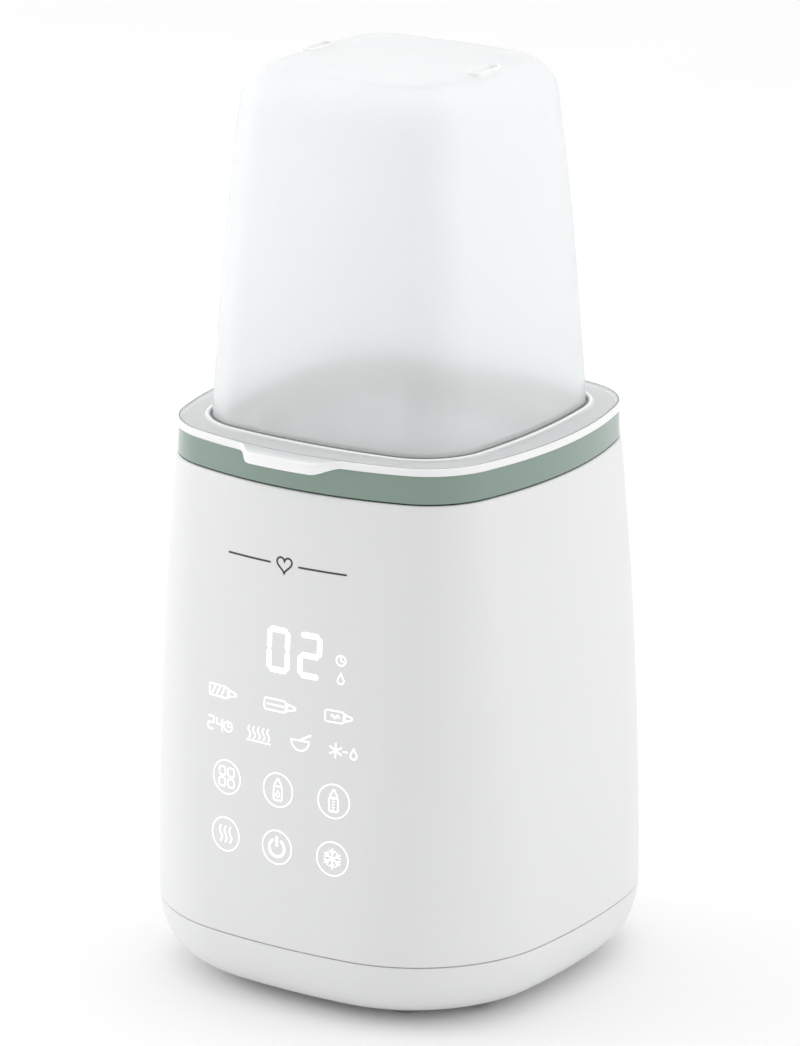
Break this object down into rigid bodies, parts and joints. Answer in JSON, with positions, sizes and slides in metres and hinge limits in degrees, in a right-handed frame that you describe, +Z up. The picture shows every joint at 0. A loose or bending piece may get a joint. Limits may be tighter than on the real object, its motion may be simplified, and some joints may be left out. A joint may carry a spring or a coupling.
{
  "type": "bottle warmer",
  "caption": "Countertop baby bottle warmer: flared rounded-square body with display, heated water well, lift-out basket and tall frosted dome lid with finger tab and vent slots.",
  "frame": {"origin": "middle of the footprint on the surface the feet stand on", "axes": "+Z up; the display and the lid's finger tab face -Y, the cord gland faces +Y"},
  "size_m": [0.131, 0.131, 0.273],
  "materials": {
    "white_shell": "fine satin moulding",
    "white_base": "fine satin moulding",
    "sage_trim": "smooth satin moulding",
    "frosted_lid": "frosted translucent polypropylene",
    "well_plastic": "smooth moulded polypropylene",
    "basket_plastic": "satin moulding",
    "silicone_seal": "soft silicone",
    "steel_screw": "zinc plated",
    "plate_steel": "turned stainless",
    "heater_foil": "pressed aluminium case",
    "clamp_steel": "pressed steel",
    "thermostat_body": "phenolic",
    "sensor_cap": "drawn cap",
    "fuse_body": "glazed ceramic",
    "lead_insulation": "silicone insulation",
    "sensor_insulation": "silicone insulation",
    "board_laminate": "solder mask",
    "light_frame_plastic": "opaque white moulding",
    "display_module": "epoxy face",
    "led_lens": "clear lens",
    "spring_steel": "plated wire",
    "ribbon_film": "laminated film",
    "relay_case": "moulded case",
    "transformer_tape": "polyester tape",
    "capacitor_sleeve": "shrink sleeve",
    "connector_nylon": "moulded nylon",
    "chip_epoxy": "moulded epoxy",
    "buzzer_case": "moulded case",
    "foot_rubber": "soft grey rubber",
    "gland_rubber": "soft white rubber",
    "clamp_nylon": "moulded nylon"
  },
  "bodies": {
    "warmer": {"outer_shell": "white_shell", "support_deck": "well_plastic", "base_cover": "white_base", "trim_ring": "sage_trim", "inner_well": "well_plastic", "well_gasket": "silicone_seal", "well_screws": "steel_screw", "heating_plate": "plate_steel", "plate_seal": "silicone_seal", "ptc_heater": "heater_foil", "heater_clamp": "clamp_steel", "clamp_screws": "steel_screw", "cutoff_thermostat": "thermostat_body", "temperature_sensor": "sensor_cap", "thermal_fuse": "fuse_body", "heater_leads": "lead_insulation", "sensor_leads": "sensor_insulation", "display_board": "board_laminate", "light_frame": "light_frame_plastic", "digit_module": "display_module", "indicator_leds": "led_lens", "touch_springs": "spring_steel", "display_screws": "steel_screw", "display_ribbon": "ribbon_film", "main_board": "board_laminate", "relay": "relay_case", "transformer": "transformer_tape", "filter_capacitor": "capacitor_sleeve", "mains_connector": "connector_nylon", "lead_connector": "connector_nylon", "control_chip": "chip_epoxy", "buzzer": "buzzer_case", "board_screws": "steel_screw", "base_screws": "steel_screw", "rubber_feet": "foot_rubber", "cord_gland": "gland_rubber", "cord_clamp": "clamp_nylon", "cord_clamp_screws": "steel_screw"},
    "lid": {"lid": "frosted_lid"},
    "basket": {"lift_basket": "basket_plastic"}
  },
  "joints": [
    {"name": "lid_lift", "type": "slide", "parent": "warmer", "child": "lid", "axis": [0, 0, 1], "range_m": [0, 0.2]},
    {"name": "basket_lift", "type": "slide", "parent": "warmer", "child": "basket", "axis": [0, 0, 1], "range_m": [0, 0.088]}
  ]
}
